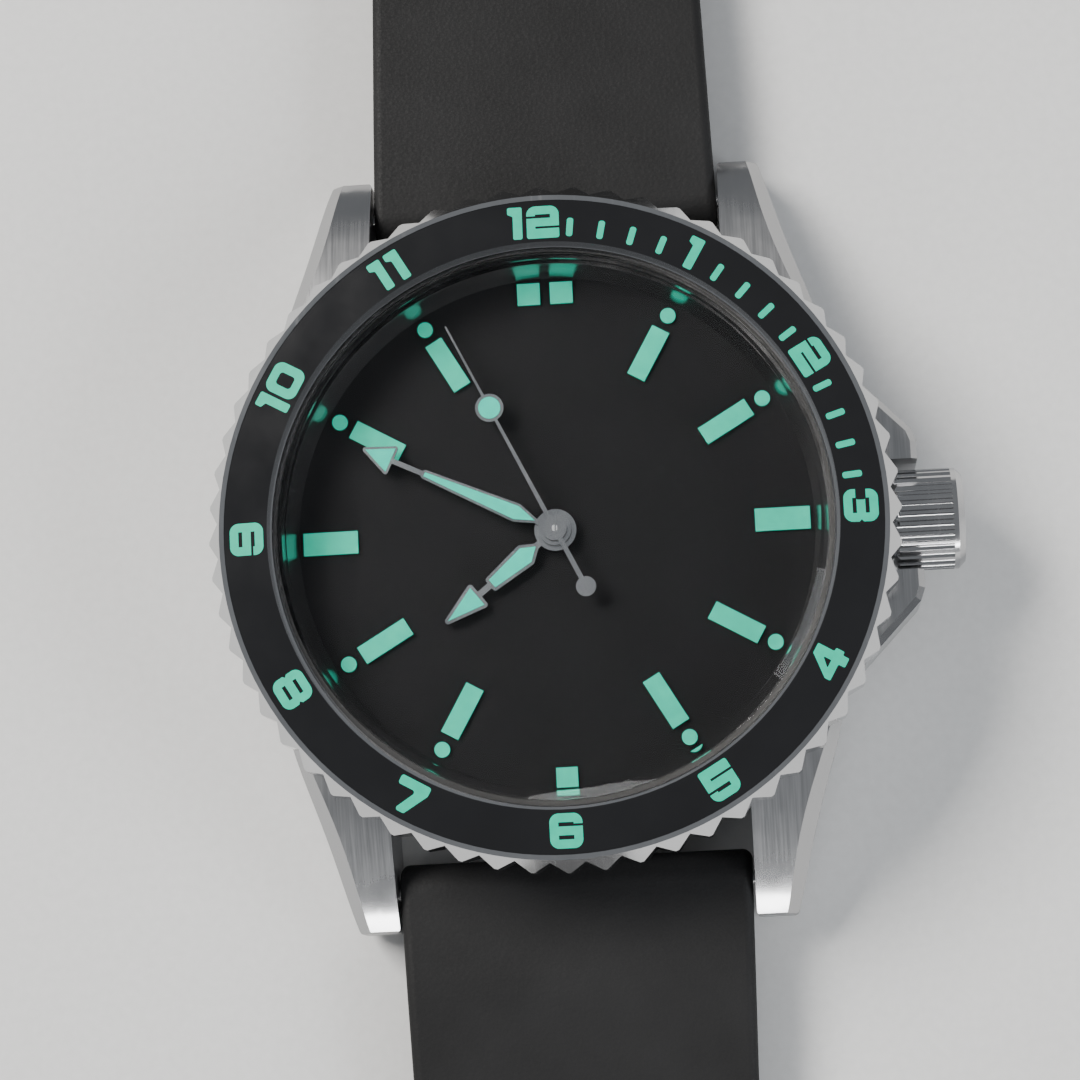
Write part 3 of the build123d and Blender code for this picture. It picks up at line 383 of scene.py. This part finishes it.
def make_materials():
    """One material for each slot of the record."""
    return {
        "case_steel": brushed_steel("case_steel"),
        "crown_steel": polished_steel("crown_steel", STEEL, CROWN_ROUGHNESS),
        "bezel_steel": polished_steel("bezel_steel", POLISHED, BEZEL_ROUGHNESS),
        "buckle_steel": brushed_steel("buckle_steel"),
        "hand_steel": polished_steel("hand_steel", POLISHED, HAND_ROUGHNESS),
        "spring_steel": grained_metal("spring_steel", shade(STEEL, 0.9), SPRING_ROUGHNESS),
        "movement_plate": grained_metal("movement_plate", NICKEL, PLATE_ROUGHNESS),
        "gear_brass": gear_brass("gear_brass"),
        "ruby": ruby("ruby"),
        "sapphire": sapphire("sapphire"),
        "bezel_black": gloss_black("bezel_black"),
        "dial_black": matte_black("dial_black"),
        "rehaut_steel": rehaut_steel("rehaut_steel"),
        "dial_lume": lume("dial_lume", LUME_DIAL, GLOW_DIAL),
        "hand_lume": lume("hand_lume", LUME_HANDS, GLOW_HANDS),
        "bezel_lume": lume("bezel_lume", LUME_BEZEL, GLOW_BEZEL),
        "strap_rubber": rubber("strap_rubber", RUBBER),
        "seal_rubber": rubber("seal_rubber", SEAL),
        "holder_plastic": plastic("holder_plastic"),
    }


def dress_nodes(materials):
    """Puts each CAD node's material in its slots."""
    for part in frame["record"]["subparts"]:
        node = frame["nodes"][part["node"]]
        for slot in node.material_slots:
            slot.material = materials[part["material_slot"]]


# ---- Stage ------------------------------------------------------------------------------
def floor():
    """A square sheet of pale paper just under the watch."""
    low, high = -FLOOR_HALF, FLOOR_HALF
    mesh = bpy.data.meshes.new("floor")
    corners = [(low, low, 0), (high, low, 0), (high, high, 0), (low, high, 0)]
    mesh.from_pydata(corners, [], [(0, 1, 2, 3)])
    mesh.materials.append(paper("floor_paper"))
    piece = bpy.data.objects.new("floor", mesh)
    piece.location.z = -FLOOR_DROP
    bpy.context.collection.objects.link(piece)


def area_light(name, place, aim, size, power, colour):
    """A rectangular soft light at a place, facing a point."""
    light = bpy.data.lights.new(name, "AREA")
    light.shape = "RECTANGLE"
    light.size, light.size_y = size
    light.energy = power
    light.color = colour
    lamp = bpy.data.objects.new(name, light)
    lamp.location = place
    direction = Vector(aim) - Vector(place)
    lamp.rotation_euler = direction.to_track_quat("-Z", "Y").to_euler()
    bpy.context.collection.objects.link(lamp)


def studio():
    """An even pale sky and three soft lights."""
    world = bpy.data.worlds.new("studio")
    world.use_nodes = True
    background = world.node_tree.nodes["Background"]
    background.inputs["Color"].default_value = (*SKY, 1.0)
    background.inputs["Strength"].default_value = SKY_STRENGTH
    bpy.context.scene.world = world
    area_light("key", KEY_PLACE, WATCH, KEY_SIZE, KEY_POWER, KEY_COLOUR)
    area_light("fill", FILL_PLACE, WATCH, FILL_SIZE, FILL_POWER, FILL_COLOUR)
    area_light("rim", RIM_PLACE, RIM_AIM, RIM_SIZE, RIM_POWER, RIM_COLOUR)


def camera():
    """Looks at the dial from the photographed angle."""
    to_camera = (Matrix.Rotation(radians(TILT), 3, "X") @ Matrix.Rotation(radians(LEAN), 3, "Y")
                 @ Matrix.Rotation(radians(ROLL), 3, "Z"))
    to_world = to_camera.transposed()
    offset = Vector((-DIAL_RIGHT, -DIAL_UP, CAMERA_DISTANCE))
    place = Vector((0, 0, DIAL_HEIGHT)) + to_world @ offset
    lens = bpy.data.cameras.new("camera")
    lens.sensor_width = FILM
    lens.lens = LENS
    lens.clip_start = NEAREST_SEEN
    piece = bpy.data.objects.new("camera", lens)
    piece.matrix_world = Matrix.Translation(place) @ to_world.to_4x4()
    bpy.context.collection.objects.link(piece)
    bpy.context.scene.camera = piece


camera()
studio()
floor()
dress_nodes(make_materials())
